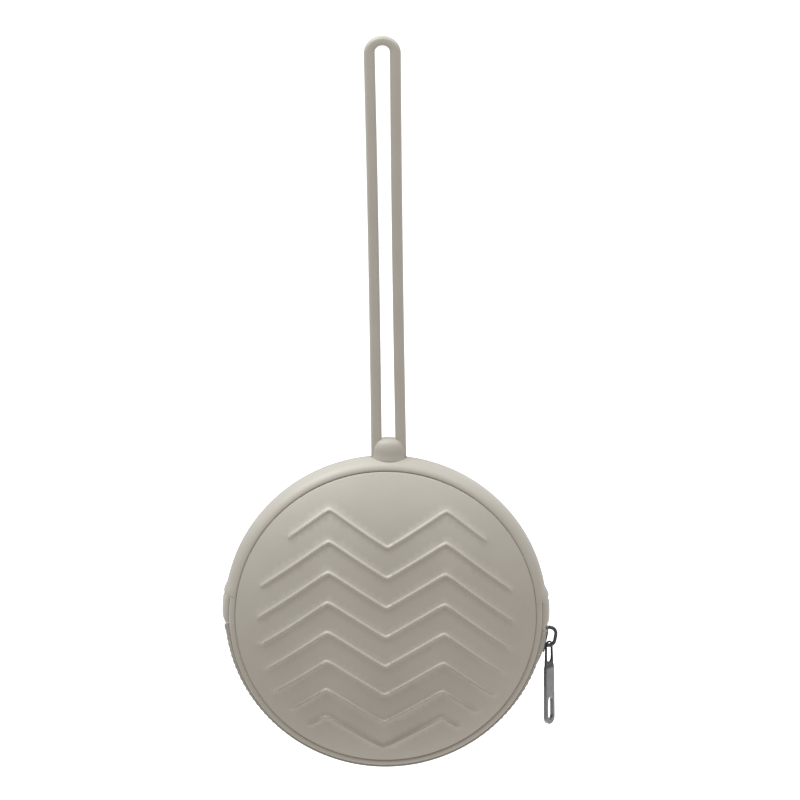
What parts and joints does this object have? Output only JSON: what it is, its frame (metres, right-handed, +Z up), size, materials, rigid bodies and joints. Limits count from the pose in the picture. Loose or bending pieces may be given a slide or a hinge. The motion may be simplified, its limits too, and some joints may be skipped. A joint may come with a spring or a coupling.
{
  "type": "silicone zip pouch with wrist strap",
  "caption": "Round moulded silicone pouch with raised zigzag ridges, a zip round the lower half of its rim and a long loop strap on a domed boss.",
  "frame": {"origin": "the point inside the top of the strap loop that hangs on a wrist or a hook", "axes": "+Z up along the hanging strap, -Y towards the ridged front, +X towards the side where the zip's slider rests"},
  "size_m": [0.1087, 0.033, 0.2406],
  "materials": {
    "silicone": "matt greige silicone",
    "tape": "woven polyester tape",
    "teeth": "moulded plastic teeth",
    "gunmetal": "polished gunmetal"
  },
  "bodies": {
    "strap": {"strap_loop": "silicone"},
    "pouch": {"strap_boss": "silicone", "back_shell": "silicone", "front_shell": "silicone", "back_tape": "tape", "back_teeth": "teeth", "back_top_stop": "teeth", "bottom_stop": "teeth"},
    "flap": {"front_flap": "silicone", "front_tape": "tape", "front_teeth": "teeth", "front_top_stop": "teeth"},
    "slider": {"slider_body": "gunmetal", "slider_bridge": "gunmetal"},
    "pull": {"pull_tab": "gunmetal"}
  },
  "joints": [
    {"name": "strap_bend", "type": "hinge", "parent": "strap", "child": "pouch", "pos_m": [0, 0, -0.1215], "axis": [1, 0, 0], "range_deg": [-75, 75], "stiffness_Nm_per_rad": 0.01},
    {"name": "flap_open", "type": "hinge", "parent": "pouch", "child": "flap", "pos_m": [-0.00196, -0.0168, -0.18857], "axis": [-0.9994, 0, 0.0349], "range_deg": [0, 32], "deforming": ["front_tape", "front_teeth"]},
    {"name": "slider_travel", "type": "hinge", "parent": "pouch", "child": "slider", "pos_m": [-0.00183, 0, -0.18497], "axis": [0, 1, 0], "range_deg": [0, 160], "deforming": ["back_tape", "back_teeth"]},
    {"name": "pull_swing", "type": "hinge", "parent": "slider", "child": "pull", "pos_m": [0.051, 0, -0.19514], "axis": [0, -1, 0], "range_deg": [0, 150]}
  ],
  "couplings": [
    {"joint": "flap_open", "follows": "slider_travel", "ratio": 0.2}
  ]
}
